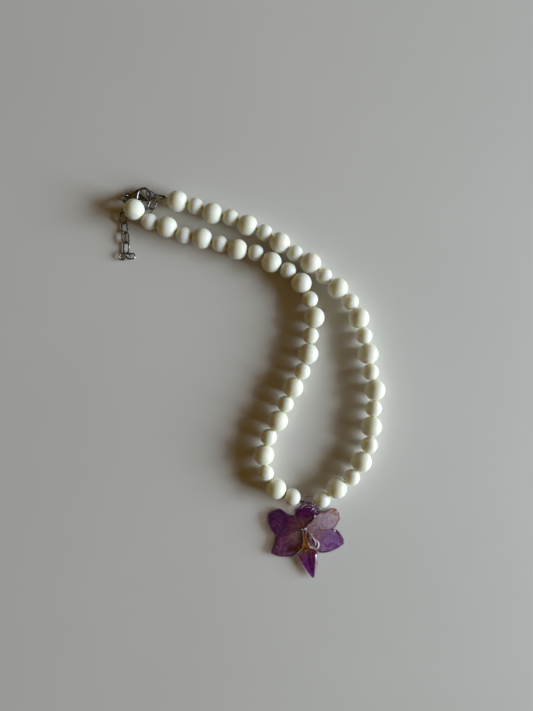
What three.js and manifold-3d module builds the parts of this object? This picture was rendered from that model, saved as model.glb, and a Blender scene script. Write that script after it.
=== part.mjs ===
// Bead necklace with an orchid pendant, lying flat on a table as it was laid down.
// Millimetres, +Z up. The table is z = 0, and the origin is the bottom centre of the whole necklace.
import * as THREE from "three";
import { mergeVertices } from "three/addons/utils/BufferGeometryUtils.js";
import Module from "manifold-3d";

const wasm = await Module();
wasm.setup();

// ---------------------------------------------------------------- driving dimensions
// Two strands of beads, large and small in turn, from the clasp down to the pendant.
const LARGE_BEAD = { diameter: 10, length: 9.7 };
const SMALL_BEAD = { diameter: 8, length: 7.6 };
const BEADS_PER_STRAND = 24;
const BEAD_BORE = 1.4; // diameter of the drilled hole
const BEAD_SIDES = 12;
const BEAD_ARC_STEPS = 4;

// The wire lies low in the holes of the large beads, and the small beads hang on it.
const WIRE_DIAMETER = 0.5;
const WIRE_SIDES = 8;
const WIRE_HEIGHT = 4.85;
const WIRE_SAG = 0.15; // from a large bead's axis to the wire, and from the wire to a small bead's axis
const WIRE_SEAT = 0.5; // the wire is straight over this share of a bead's length to each side

// The strands as they lie, x and y of a hand-picked point at every bead or two.
const OUTER_ROUTE = [
  [-48.2, 76.6], [-34.2, 72.8], [-26.2, 69.4], [-17.5, 67.4], [-9.2, 63.5], [-1.1, 60.1],
  [13.5, 50.1], [21.3, 45.3], [28.1, 38.9], [40.8, 26.6], [45.0, 18.6], [49.4, 1.5],
  [50.7, -7.4], [52.9, -16.2], [51.2, -34.0], [50.5, -43.1], [46.6, -51.4], [42.0, -59.1],
  [34.5, -64.6], [27.4, -70.2], [23.3, -72.0],
];
const INNER_ROUTE = [
  [-67.9, 73.8], [-56.7, 65.2], [-48.0, 62.5], [-40.1, 58.7], [-31.4, 57.2], [-14.1, 51.9],
  [-5.0, 50.1], [2.4, 45.6], [10.3, 41.7], [16.8, 35.7], [21.1, 27.6], [23.3, 18.6],
  [21.5, 9.9], [20.3, 1.1], [17.6, -7.4], [13.2, -15.1], [5.6, -31.5], [1.3, -39.2],
  [-1.3, -48.4], [-0.4, -57.6], [5.0, -65.3], [12.7, -69.1], [16.9, -71.4],
];
const INNER_END_LIFT = 3.0; // the first inner bead lies on the chain
const ROUTE_SAMPLES = 4000;

// Jump rings, and the crimps that close the wire's end loops.
const RING_WIRE = 0.6;
const INNER_RING = { radius: 1.7, centre: [-69.5, 77.9, 2.1], heading: 25, lean: 68 };
const OUTER_RING = { radius: 2.5, centre: [-56.9, 79.2, 2.7], heading: -15, lean: 70 };
const CRIMP = { diameter: 2.2, bore: 1.5, length: 2.4, share: 0.42 }; // share of the way to the ring
const INNER_LOOP_ANGLE = 115; // where on its ring each end of the wire is looped
const OUTER_LOOP_ANGLE = 10;
const LOOP_RADIUS = 0.8;
const LOOP_STEPS = 7;
const MOUTH_LEAD = 0.6; // the wire leaves an end bead straight
const CRIMPED_WIRE_GAP = 0.3; // half the distance between the two runs of wire in a crimp

// Lobster clasp, in its own frame: the eye at the origin, the claw towards +x.
const CLASP_EYE = { place: [-68.0, 78.6, 2.2], heading: -3 };
const CLASP_THICKNESS = 1.8;
const EYE = { outer: 1.75, hole: 0.95, thickness: 1.2 };
const LEVER_PIVOT = [3.9, 0.6];
const LEVER_TIP = [9.0, -1.9];
const LEVER_THICKNESS = 0.7;
const LEVER_SLOT = 1.3;
const LEVER_BOSS = 1.25;
const PIN_RADIUS = 0.35;
const PIN_CLEARANCE = 0.3;

// Extender chain, x and y under its links, and the two loops that end it.
const CHAIN_WIRE = 0.6;
const CHAIN_LINK = { inner: 4.3, width: 3.4, roll: 22 };
const CHAIN_PITCH = 4.5;
const CHAIN_LINKS = 9;
const CHAIN_HEIGHT = 0.95;
const CHAIN_START_LIFT = 1.3; // its first link hangs on the jump ring
const CHAIN_ROUTE = [
  [-55.1, 77.6], [-56.0, 71.6], [-60.4, 70.6], [-65.2, 71.6], [-69.2, 71.4], [-70.5, 67.6],
  [-69.7, 62.7], [-69.4, 58.3], [-68.8, 53.6], [-69.2, 48.0],
];
const END_LOOPS = [
  { centre: [-69.8, 49.2, 1.0], length: 4.1, width: 3.2, heading: 70, roll: 25 },
  { centre: [-66.4, 48.8, 1.0], length: 4.7, width: 3.2, heading: 5, roll: -10 },
];

// Pendant, in its own frame: the wire runs along x over the origin, the flower lies towards -y.
const BAIL = { place: [20.1, -71.7], heading: -5, bore: 1.9, diameter: 4.4, half: 3.0, end: 3.2 };
const BAIL_NECK = { width: 5, depth: 3.6 }; // the resin under the sleeve
const DOME = { radius: 5.0, centre: [0, -3.2] };
const RESIN = { base: 1.0, top: 2.6, rim: 0.7 };
const FLOWER_CENTRE = [0.35, -13.8];
const FLOWER_HEART = 4.2;
const FLOWER_GAP = 0.3; // from the flower to the resin round it
const TEPAL_THICKNESS = 1.0;
const TEPALS = [
  { length: 11.5, halfWidth: 5.6, heading: 88, blunt: 0.8 },
  { length: 18.9, halfWidth: 6.3, heading: 175, blunt: 0.9 },
  { length: 20.0, halfWidth: 6.6, heading: 219, blunt: 0.55 },
  { length: 17.5, halfWidth: 4.6, heading: 27, blunt: 0.85 },
  { length: 20.2, halfWidth: 5.8, heading: -17, blunt: 0.5 },
];
const LIP = { length: 24.1, halfWidth: 4.6, heading: -76, blunt: 0.15 };
const LIP_LOW = RESIN.base + 2 * FLOWER_GAP + TEPAL_THICKNESS;
const LIP_TOP = LIP_LOW + TEPAL_THICKNESS;
const COLUMN = { radius: 1.9, height: 2.2 };

// ---------------------------------------------------------------- materials
const material = (color, roughness, metalness, extra = {}) =>
  new THREE.MeshStandardMaterial({ color, roughness, metalness, ...extra });
const BEAD = material(0xf1ecdc, 0.28, 0);
const STEEL = material(0xb9b4aa, 0.25, 1);
const CLEAR = material(0xe9e2ee, 0.08, 0, { transparent: true, opacity: 0.35 });
const TEPAL = material(0x6a2f80, 0.35, 0);
const LIP_PURPLE = material(0x4a1560, 0.35, 0);

// ---------------------------------------------------------------- helpers
const turn = THREE.MathUtils.degToRad;
const vector = ([x, y, z = 0]) => new THREE.Vector3(x, y, z);

// A closed geometry as a solid that can be joined and cut.
function solid(geometry) {
  const bare = geometry.clone();
  bare.deleteAttribute("normal");
  bare.deleteAttribute("uv");
  const merged = mergeVertices(bare, 1e-4);
  return new wasm.Manifold(
    new wasm.Mesh({
      numProp: 3,
      vertProperties: merged.attributes.position.array,
      triVerts: new Uint32Array(merged.index.array),
    }),
  );
}

function geometryOf(made) {
  const { vertProperties, triVerts } = made.getMesh();
  return new THREE.BufferGeometry()
    .setAttribute("position", new THREE.BufferAttribute(vertProperties, 3))
    .setIndex(new THREE.BufferAttribute(triVerts, 1));
}

const join = (solids) => solids.reduce((a, b) => a.add(b));

function mesh(name, geometry, finish) {
  const made = new THREE.Mesh(geometry, finish);
  made.name = name;
  return made;
}

// A flat plate of the outline, from z = low to z = high.
function plate(outline, low, high) {
  const flat = { depth: high - low, bevelEnabled: false, curveSegments: 12 };
  return new THREE.ExtrudeGeometry(outline, flat).translate(0, 0, low);
}

const disc = (radius, x = 0, y = 0) => new THREE.Shape().absarc(x, y, radius, 0, 2 * Math.PI);

// A path that bends only at its own points, so each step of a tube ends where a point is.
class PointPath extends THREE.Curve {
  constructor(points) {
    super();
    this.points = points;
  }
  getPoint(t, target = new THREE.Vector3()) {
    const last = this.points.length - 1;
    const i = Math.min(Math.floor(t * last), last - 1);
    return target.lerpVectors(this.points[i], this.points[i + 1], t * last - i);
  }
  getPointAt(t, target) {
    return this.getPoint(t, target);
  }
  getTangentAt(t, target = new THREE.Vector3()) {
    const last = this.points.length - 1;
    const i = Math.round(t * last);
    const after = this.points[Math.min(i + 1, last)];
    return target.subVectors(after, this.points[Math.max(i - 1, 0)]).normalize();
  }
}

function tube(points, diameter, sides) {
  const circle = Array.from({ length: sides }, (_, i) => {
    const angle = (2 * Math.PI * i) / sides;
    return new THREE.Vector2(Math.cos(angle), Math.sin(angle)).multiplyScalar(diameter / 2);
  });
  return new THREE.ExtrudeGeometry(new THREE.Shape(circle), {
    steps: points.length - 1,
    extrudePath: new PointPath(points),
    bevelEnabled: false,
  });
}

// A closed wire link, lying flat with its length along x. A torus whose halves are drawn apart.
function link(length, width, wire) {
  const across = (width - wire) / 2;
  const drawn = (length - width) / 2;
  const shape = new THREE.TorusGeometry(across, wire / 2, 5, 10).rotateZ(Math.PI / 10);
  const position = shape.attributes.position;
  for (let i = 0; i < position.count; i++)
    position.setX(i, position.getX(i) + Math.sign(position.getX(i)) * drawn);
  return shape;
}

// The matrix that puts a piece's x axis along a direction, with its z axis as near up as it goes.
function standing(along, place, roll = 0) {
  const x = along.clone().normalize();
  const y = new THREE.Vector3(0, 0, 1).cross(x).normalize();
  const basis = new THREE.Matrix4().makeBasis(x, y, x.clone().cross(y));
  return basis.multiply(new THREE.Matrix4().makeRotationX(roll)).setPosition(place);
}

const heading = (degrees) =>
  new THREE.Vector3(Math.cos(turn(degrees)), Math.sin(turn(degrees)), 0);

// ---------------------------------------------------------------- strands of beads
// Where a strand's beads lie: each touches the last, so its centre is two radii further on.
function strandBeads(route, endLift) {
  const points = route.map(([x, y], i) => new THREE.Vector3(x, y, WIRE_HEIGHT + (i ? 0 : endLift)));
  const samples = new THREE.CatmullRomCurve3(points).getSpacedPoints(ROUTE_SAMPLES);
  const mouth = samples[0];
  const centres = [mouth];
  let sample = 0;
  for (let bead = 0; bead < BEADS_PER_STRAND; bead++) {
    const reach = bead ? (beadSize(bead).diameter + beadSize(bead - 1).diameter) / 2 : LARGE_BEAD.length / 2;
    while (samples[sample].distanceTo(centres.at(-1)) < reach) sample++;
    centres.push(samples[sample]);
  }
  const ends = [...centres, points.at(-1)];
  return centres.slice(1).map((centre, i) => ({
    size: beadSize(i),
    centre,
    along: new THREE.Vector3().subVectors(ends[i + 2], ends[i]).normalize(),
  }));
}

const beadSize = (index) => (index % 2 ? SMALL_BEAD : LARGE_BEAD);

// A drilled ball with its hole along y, flat round the hole's two mouths.
function beadGeometry({ diameter, length }) {
  const radius = diameter / 2;
  const widest = Math.asin(length / diameter);
  const profile = [new THREE.Vector2(BEAD_BORE / 2, -length / 2)];
  for (let i = 0; i <= BEAD_ARC_STEPS; i++) {
    const angle = widest * ((2 * i) / BEAD_ARC_STEPS - 1);
    profile.push(new THREE.Vector2(radius * Math.cos(angle), radius * Math.sin(angle)));
  }
  profile.push(new THREE.Vector2(BEAD_BORE / 2, length / 2), profile[0].clone());
  return new THREE.LatheGeometry(profile, BEAD_SIDES);
}

function strand(name, beads) {
  const group = new THREE.Group();
  beads.forEach(({ size, centre, along }, i) => {
    const number = String(i + 1).padStart(2, "0");
    const bead = mesh(`bead_${name}_${number}`, beadGeometry(size).rotateZ(-Math.PI / 2), BEAD);
    const rise = size === LARGE_BEAD ? WIRE_SAG : -WIRE_SAG;
    bead.applyMatrix4(standing(along, centre.clone().add(new THREE.Vector3(0, 0, rise))));
    group.add(bead);
  });
  return group;
}

// The wire's two points inside each bead of a strand, between which it is straight.
function wireThrough(beads) {
  return beads.flatMap(({ size, centre, along }) =>
    [-WIRE_SEAT, WIRE_SEAT].map((share) => centre.clone().addScaledVector(along, share * size.length)),
  );
}

// ---------------------------------------------------------------- wire ends and crimps
// A point of a jump ring's wire, and the wire's direction there.
function ringAt(ring, degrees) {
  const frame = ringFrame(ring);
  const spoke = heading(degrees);
  const place = spoke.clone().multiplyScalar(ring.radius).applyMatrix4(frame);
  return { place, tangent: heading(degrees + 90).transformDirection(frame) };
}

// From the first bead's mouth the wire runs through a crimp, round a ring and back into the crimp.
function wireEnd({ size, centre, along }, ring, degrees) {
  const mouth = centre.clone().addScaledVector(along, -size.length / 2 - MOUTH_LEAD);
  const { place, tangent } = ringAt(ring, degrees);
  const out = new THREE.Vector3().subVectors(place, mouth);
  const crimpPlace = mouth.clone().addScaledVector(out, CRIMP.share);
  const aside = new THREE.Vector3().crossVectors(tangent, out).normalize();
  const ahead = new THREE.Vector3().crossVectors(aside, tangent).normalize();
  out.normalize();
  const run = (side, share) =>
    crimpPlace
      .clone()
      .addScaledVector(aside, side * CRIMPED_WIRE_GAP)
      .addScaledVector(out, (share * CRIMP.length) / 2);
  const loop = Array.from({ length: LOOP_STEPS }, (_, i) => {
    const angle = Math.PI * (i / (LOOP_STEPS - 1));
    return place
      .clone()
      .addScaledVector(aside, LOOP_RADIUS * Math.cos(angle))
      .addScaledVector(ahead, LOOP_RADIUS * Math.sin(angle));
  });
  const points = [mouth, run(1, -1), run(1, 1), ...loop, run(-1, 1), run(-1, -0.7)];
  return { out, crimpPlace, points };
}

function crimp(name, { crimpPlace, out }) {
  const [outer, bore, half] = [CRIMP.diameter / 2, CRIMP.bore / 2, CRIMP.length / 2];
  const profile = [
    [bore, -half], [outer * 0.8, -half], [outer, -half / 2], [outer, half / 2],
    [outer * 0.8, half], [bore, half], [bore, -half],
  ].map(([r, y]) => new THREE.Vector2(r, y));
  const sleeve = mesh(name, new THREE.LatheGeometry(profile, 12).rotateZ(-Math.PI / 2), STEEL);
  sleeve.applyMatrix4(standing(out, crimpPlace));
  return sleeve;
}

const ringFrame = (ring) => standing(heading(ring.heading), vector(ring.centre), turn(ring.lean));

function jumpRing(name, ring) {
  const made = mesh(name, new THREE.TorusGeometry(ring.radius, RING_WIRE / 2, 6, 16), STEEL);
  made.applyMatrix4(ringFrame(ring));
  return made;
}

// ---------------------------------------------------------------- clasp
const CLAW_OUTLINE = [
  [0.9, 1.3], [2.6, 2.6], [5.0, 3.7], [7.4, 4.1], [9.8, 3.3], [11.1, 1.2], [11.2, -1.2],
  [10.7, -2.9], [9.7, -3.5], [8.8, -3.4], [9.0, -2.8], [9.9, -2.2], [10.2, 0.6], [9.2, 2.4],
  [7.3, 3.1], [5.6, 2.6], [5.1, 1.8], [4.8, -1.2], [3.2, -1.9], [0.9, -1.3],
];

function claspBody() {
  const half = CLASP_THICKNESS / 2;
  const claw = new THREE.Shape(CLAW_OUTLINE.map(([x, y]) => new THREE.Vector2(x, y)));
  const [x, y] = LEVER_PIVOT;
  const slotSide = LEVER_BOSS + PIN_CLEARANCE;
  const slot = new THREE.Shape([
    new THREE.Vector2(x - slotSide, y - 3.2),
    new THREE.Vector2(x + 2, y - 3.2),
    new THREE.Vector2(x + 2, y + slotSide),
    new THREE.Vector2(x - slotSide, y + slotSide),
  ]);
  const body = solid(plate(claw, -half, half))
    .add(solid(plate(disc(EYE.outer), -EYE.thickness / 2, EYE.thickness / 2)))
    .subtract(solid(plate(disc(EYE.hole), -half - 1, half + 1)))
    .subtract(solid(plate(slot, -LEVER_SLOT / 2, LEVER_SLOT / 2)))
    .add(solid(plate(disc(PIN_RADIUS, x, y), -half, half)));
  return mesh("clasp_body", geometryOf(body), STEEL);
}

// The lever is a boss on the pin, an arm to the claw's tip and a thumb tab on the outer side.
function claspLever() {
  const [x, y] = LEVER_PIVOT;
  const [tipX, tipY] = LEVER_TIP;
  const half = LEVER_THICKNESS / 2;
  const arm = new THREE.Shape([
    [x + 0.4, y + 0.9], [tipX + 0.2, tipY + 0.45], [tipX - 0.2, tipY - 0.45], [x + 2.2, y - 2.1],
    [x + 1.2, y - 3.4], [x + 0.1, y - 3.6], [x - 0.3, y - 2.6], [x - 0.6, y - 0.8],
  ].map(([u, v]) => new THREE.Vector2(u, v)));
  const lever = solid(plate(disc(LEVER_BOSS, x, y), -half, half))
    .add(solid(plate(arm, -half, half)))
    .subtract(solid(plate(disc(PIN_RADIUS + PIN_CLEARANCE, x, y), -1, 1)));
  return mesh("clasp_lever", geometryOf(lever), STEEL);
}

function clasp() {
  const group = new THREE.Group();
  group.add(claspBody(), claspLever());
  group.applyMatrix4(standing(heading(CLASP_EYE.heading), vector(CLASP_EYE.place)));
  return group;
}

// ---------------------------------------------------------------- extender chain
function chain() {
  const lift = (i) => CHAIN_HEIGHT + (i ? 0 : CHAIN_START_LIFT);
  const points = CHAIN_ROUTE.map(([x, y], i) => new THREE.Vector3(x, y, lift(i)));
  const route = new THREE.CatmullRomCurve3(points);
  const length = CHAIN_LINK.inner + 2 * CHAIN_WIRE;
  const links = Array.from({ length: CHAIN_LINKS }, (_, i) => {
    const share = ((i + 0.5) * CHAIN_PITCH) / route.getLength();
    const roll = turn(i % 2 ? CHAIN_LINK.roll : -CHAIN_LINK.roll);
    const frame = standing(route.getTangentAt(share), route.getPointAt(share), roll);
    return solid(link(length, CHAIN_LINK.width, CHAIN_WIRE).applyMatrix4(frame));
  });
  const loops = END_LOOPS.map(({ centre, length: long, width, heading: direction, roll }) => {
    const frame = standing(heading(direction), vector(centre), turn(roll));
    return solid(link(long, width, CHAIN_WIRE).applyMatrix4(frame));
  });
  return mesh("extender_chain", geometryOf(join([...links, ...loops])), STEEL);
}

// ---------------------------------------------------------------- pendant
// A tepal's outline from the flower's centre, grown by a margin all round.
function tepalOutline({ length, halfWidth, heading: direction, blunt }, margin) {
  const reach = length + margin;
  const side = halfWidth + margin;
  const flank = [
    [0, 0.35 * side], [0.4 * reach, 0.85 * side], [0.68 * reach, side],
    [0.9 * reach, (0.25 + 0.6 * blunt) * side],
  ];
  const points = [...flank, [reach, 0], ...flank.map(([x, y]) => [x, -y]).reverse()];
  const curve = new THREE.SplineCurve(points.map(([x, y]) => new THREE.Vector2(x, y)));
  const [x, y] = FLOWER_CENTRE;
  const placed = curve
    .getPoints(20)
    .map((p) => p.rotateAround(new THREE.Vector2(), turn(direction)).add(new THREE.Vector2(x, y)));
  return new THREE.Shape(placed);
}

// Every lobe of the flower as one solid, grown by a margin, between two heights.
function flowerSolid(lobes, margin, low, high) {
  const heart = solid(plate(disc(FLOWER_HEART + margin, ...FLOWER_CENTRE), low, high));
  return join([heart, ...lobes.map((lobe) => solid(plate(tepalOutline(lobe, margin), low, high)))]);
}

// A round sleeve along x with softened ends, for the wire.
function bailSleeve(radius, half, end) {
  const shoulder = radius * 0.3;
  const profile = [
    [0, -half], [radius - shoulder, -half], [radius, shoulder - half],
    [radius, half - shoulder], [radius - shoulder, half], [0, half],
  ].map(([r, y]) => new THREE.Vector2(r, y));
  return solid(new THREE.LatheGeometry(profile, 16).rotateZ(-Math.PI / 2).translate(0, 0, end));
}

function pendantResin() {
  const lobes = [...TEPALS, LIP];
  const { width, depth } = BAIL_NECK;
  const neck = new THREE.Shape().moveTo(-width / 2, -depth / 2).lineTo(width / 2, -depth / 2)
    .lineTo(width / 2, depth / 2).lineTo(-width / 2, depth / 2);
  const body = flowerSolid(lobes, FLOWER_GAP + RESIN.rim, 0, RESIN.top)
    .add(solid(plate(disc(DOME.radius, ...DOME.centre), 0, RESIN.top)))
    .subtract(flowerSolid(lobes, FLOWER_GAP, RESIN.base, RESIN.top + 1))
    .add(solid(plate(neck, 0, WIRE_HEIGHT)))
    .add(bailSleeve(BAIL.diameter / 2, BAIL.half, WIRE_HEIGHT))
    .subtract(bailSleeve(BAIL.bore / 2, BAIL.half + 2, WIRE_HEIGHT));
  return mesh("pendant_resin", geometryOf(body), CLEAR);
}

function orchidBlossom() {
  const low = RESIN.base + FLOWER_GAP;
  const blossom = flowerSolid(TEPALS, 0, low, low + TEPAL_THICKNESS);
  return mesh("orchid_blossom", geometryOf(blossom), TEPAL);
}

function orchidLip() {
  return mesh("orchid_lip", plate(tepalOutline(LIP, 0), LIP_LOW, LIP_TOP), LIP_PURPLE);
}

// The column is the short round post in the middle of the flower.
function orchidColumn() {
  const { radius, height } = COLUMN;
  const profile = [[0, 0], [radius, 0], [radius * 0.8, height * 0.7], [0, height]]
    .map(([r, h]) => new THREE.Vector2(r, h));
  const column = new THREE.LatheGeometry(profile, 12).rotateX(Math.PI / 2);
  const [x, y] = FLOWER_CENTRE;
  return mesh("orchid_column", column.translate(x, y + 1, LIP_TOP + FLOWER_GAP), LIP_PURPLE);
}

function pendant() {
  const group = new THREE.Group();
  group.add(pendantResin(), orchidBlossom(), orchidLip(), orchidColumn());
  group.position.set(...BAIL.place, 0);
  group.rotation.z = turn(BAIL.heading);
  return group;
}

// ---------------------------------------------------------------- the whole necklace
const outer = strandBeads(OUTER_ROUTE, 0);
const inner = strandBeads(INNER_ROUTE, INNER_END_LIFT);

const outerEnd = wireEnd(outer[0], OUTER_RING, OUTER_LOOP_ANGLE);
const innerEnd = wireEnd(inner[0], INNER_RING, INNER_LOOP_ANGLE);
const [bailX, bailY] = BAIL.place;
const bailMouth = (side) =>
  heading(BAIL.heading).multiplyScalar(side * BAIL.end).add(vector([bailX, bailY, WIRE_HEIGHT]));

const wirePoints = [
  ...outerEnd.points.toReversed(),
  ...wireThrough(outer),
  bailMouth(1),
  bailMouth(-1),
  ...wireThrough(inner).reverse(),
  ...innerEnd.points,
];

const root = new THREE.Group();
root.add(
  strand("outer", outer),
  strand("inner", inner),
  mesh("beading_wire", tube(wirePoints, WIRE_DIAMETER, WIRE_SIDES), STEEL),
  crimp("crimp_outer", outerEnd),
  crimp("crimp_inner", innerEnd),
  jumpRing("jump_ring_inner", INNER_RING),
  jumpRing("jump_ring_outer", OUTER_RING),
  clasp(),
  chain(),
  pendant(),
);

// The origin goes to the bottom centre of the box round everything.
const box = new THREE.Box3().setFromObject(root, true);
const middle = box.getCenter(new THREE.Vector3());
root.position.set(-middle.x, -middle.y, -box.min.z);

export default root;
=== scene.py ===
"""Bead necklace with an orchid pendant, lying on a pale surface: the looks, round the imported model."""
from math import asin, atan2, copysign, cos, hypot, pi, radians, sin, tanh

import bmesh
import bpy
import numpy as np
import openvdb
from mathutils import Matrix, Vector, noise


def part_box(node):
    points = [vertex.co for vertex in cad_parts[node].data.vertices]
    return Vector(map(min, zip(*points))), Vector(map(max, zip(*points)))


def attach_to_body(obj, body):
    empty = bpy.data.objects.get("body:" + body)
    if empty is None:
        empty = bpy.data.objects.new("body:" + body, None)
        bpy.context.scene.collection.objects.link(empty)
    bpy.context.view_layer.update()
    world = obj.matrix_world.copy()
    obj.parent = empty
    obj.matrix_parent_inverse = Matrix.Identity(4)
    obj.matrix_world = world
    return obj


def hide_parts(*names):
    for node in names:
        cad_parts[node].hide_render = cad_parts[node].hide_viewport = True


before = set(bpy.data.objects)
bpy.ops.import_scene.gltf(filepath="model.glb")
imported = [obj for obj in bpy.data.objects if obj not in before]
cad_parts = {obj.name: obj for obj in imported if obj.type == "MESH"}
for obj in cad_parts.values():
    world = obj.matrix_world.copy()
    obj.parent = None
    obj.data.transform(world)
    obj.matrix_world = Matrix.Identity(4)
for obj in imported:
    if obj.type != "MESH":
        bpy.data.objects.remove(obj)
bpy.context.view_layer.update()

# ---- sizes, in millimetres
# From a drawing round the middle of the photograph's view to the row frame.
SHIFT = np.array([7.069, 13.981, 0.004])

BEADS_PER_STRAND = 24
LARGE_BEAD = dict(radius=5.0, length=9.7, rise=0.15)
SMALL_BEAD = dict(radius=4.0, length=7.6, rise=-0.15)
BEAD_BORE = 1.4
BEAD_MOUTH = 0.28  # how far the mouth of the hole is rounded
BEAD_SIDES = 56
BEAD_UNEVEN = 0.012  # of the radius, in lumps
BEAD_LUMPS = 0.16  # lumps per millimetre
BEAD_TURN = 67.0  # degrees about its hole from one bead to the next
FLAT_MARGIN = 0.04  # a CAD bead's flat mouths are further inside its ball than this

WIRE = dict(diameter=0.5, strands=7, lay=3.2, step=0.35)
ROPE_DEPTH = 0.1  # of the grooves between the strands, of the radius
ROPE_ROUND = 0.7
WIRE_HEIGHT = 4.85
WIRE_SEAT = 0.45  # of a bead's length: how far from its middle the wire is held
MOUTH_LEAD = 0.6
CRIMP = dict(diameter=2.2, bore=1.5, length=2.4, share=0.42, gap=0.3, sides=40, roll=35)
LOOP_RADIUS = 0.8

# The gap is half a jump ring's cut in degrees; the drift puts its two ends out of line.
RING_WIRE = dict(diameter=0.6, steps=96, gap=1.2, drift=0.06, end=0.86)
INNER_RING = dict(radius=1.7, centre=(-69.5, 77.9, 2.1), heading=25, lean=68, cut=200, loop=115)
OUTER_RING = dict(radius=2.5, centre=(-56.9, 79.2, 2.7), heading=-15, lean=70, cut=60, loop=10)

CLASP_EYE = dict(place=(-68.0, 78.6, 2.2), heading=-3)
CLASP_HALF = 0.9
EYE = dict(radius=1.35, wire=0.62)
LEVER_PIVOT = (3.9, 0.6)
LEVER_HALF = 0.41
SLOT_HALF = 0.62
PIN_RADIUS, PIN_PLAY, PIN_HEAD = 0.42, 0.12, 0.06
BOSS = dict(width=0.35, height=0.1, edge=0.15)  # round the lever's pin

CHAIN_WIRE = 0.8
CHAIN_LINK = dict(inner=4.95, width=3.9, roll=24, uneven=3)
CHAIN_PITCH = 4.85
CHAIN_LINKS = 8
LINK_STEPS, LINK_SIDES = 72, 14
LINK_CORNER = 4.5  # how sharply a link's straight sides turn into its ends
CHAIN_ROUTE = [
    (-55.6, 77.4, 2.2), (-57.2, 72.6, 1.6), (-60.6, 70.9, 1.4), (-65.2, 72.2, 1.4), (-69.6, 72.2, 1.4),
    (-70.9, 67.8, 1.4), (-70.2, 62.7, 1.4), (-69.8, 58.3, 1.4), (-69.4, 53.6, 1.4), (-70.0, 47.0, 1.4),
]
END_LOOPS = [
    dict(centre=(-71.3, 49.0, 1.2), length=4.0, width=3.6, heading=60, roll=20),
    dict(centre=(-67.3, 49.2, 1.1), length=4.8, width=3.6, heading=5, roll=-10),
]

# The pendant's own frame: the wire runs along x over the origin, the flower lies towards -y.
BAIL = dict(place=(20.1, -71.7), heading=-5, bore=1.9, reach=3.2)


# ---- small helpers
def unit(v):
    return v / np.linalg.norm(v)


def heading(degrees):
    return np.array([cos(radians(degrees)), sin(radians(degrees)), 0.0])


UNALIGNED = (0.13, 0.21, 0.97)  # a direction that no path here runs along


def standing(along, place, roll=0.0):
    """A frame with x along a direction and z as near up as it goes, rolled about x by degrees."""
    x = unit(np.array(along, float))
    y = unit(np.cross((0, 0, 1), x))
    z = np.cross(x, y)
    c, s = cos(radians(roll)), sin(radians(roll))
    made = np.eye(4)
    made[:3, 0], made[:3, 1], made[:3, 2], made[:3, 3] = x, c * y + s * z, c * z - s * y, place
    return made


def placed(points, matrix):
    return np.asarray(points, float) @ matrix[:3, :3].T + matrix[:3, 3]


def row(points):
    """Points of the photo-centred drawing in the row frame."""
    return np.asarray(points, float) + SHIFT


def spline(points, samples):
    """A smooth curve through the points, at evenly spaced places."""
    p = np.asarray(points, float)
    p = np.vstack([2 * p[0] - p[1], p, 2 * p[-1] - p[-2]])
    steps = 24
    t = np.linspace(0, 1, steps, endpoint=False)[:, None]
    dense = []
    for a, b, c, d in zip(p, p[1:], p[2:], p[3:]):
        cubic = 3 * b - a - 3 * c + d
        dense.append(0.5 * (2 * b + (c - a) * t + (2 * a - 5 * b + 4 * c - d) * t**2 + cubic * t**3))
    dense = np.vstack([*dense, p[-2:-1]])
    run = np.concatenate([[0], np.cumsum(np.linalg.norm(np.diff(dense, axis=0), axis=1))])
    at = np.linspace(0, run[-1], samples)
    return np.column_stack([np.interp(at, run, dense[:, k]) for k in range(p.shape[1])])


def linked(name, data):
    made = bpy.data.objects.new(name, data)
    bpy.context.scene.collection.objects.link(made)
    return made


def make_object(name, points, faces, material, matrix=None):
    """A mesh object. The points are in millimetres, in the matrix's frame."""
    mesh = bpy.data.meshes.new(name)
    mesh.from_pydata((np.asarray(points) * 0.001).tolist(), [], faces)
    mesh.validate()
    mesh.shade_smooth()
    for finish in material if isinstance(material, list) else [material]:
        mesh.materials.append(finish)
    made = linked(name, mesh)
    if matrix is not None:
        local = np.array(matrix)
        local[:3, 3] *= 0.001
        made.matrix_world = Matrix(local.tolist())
    return made


def attach(made, body, slot, *nodes):
    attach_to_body(made, body)
    if nodes:
        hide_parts(*nodes)


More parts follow.
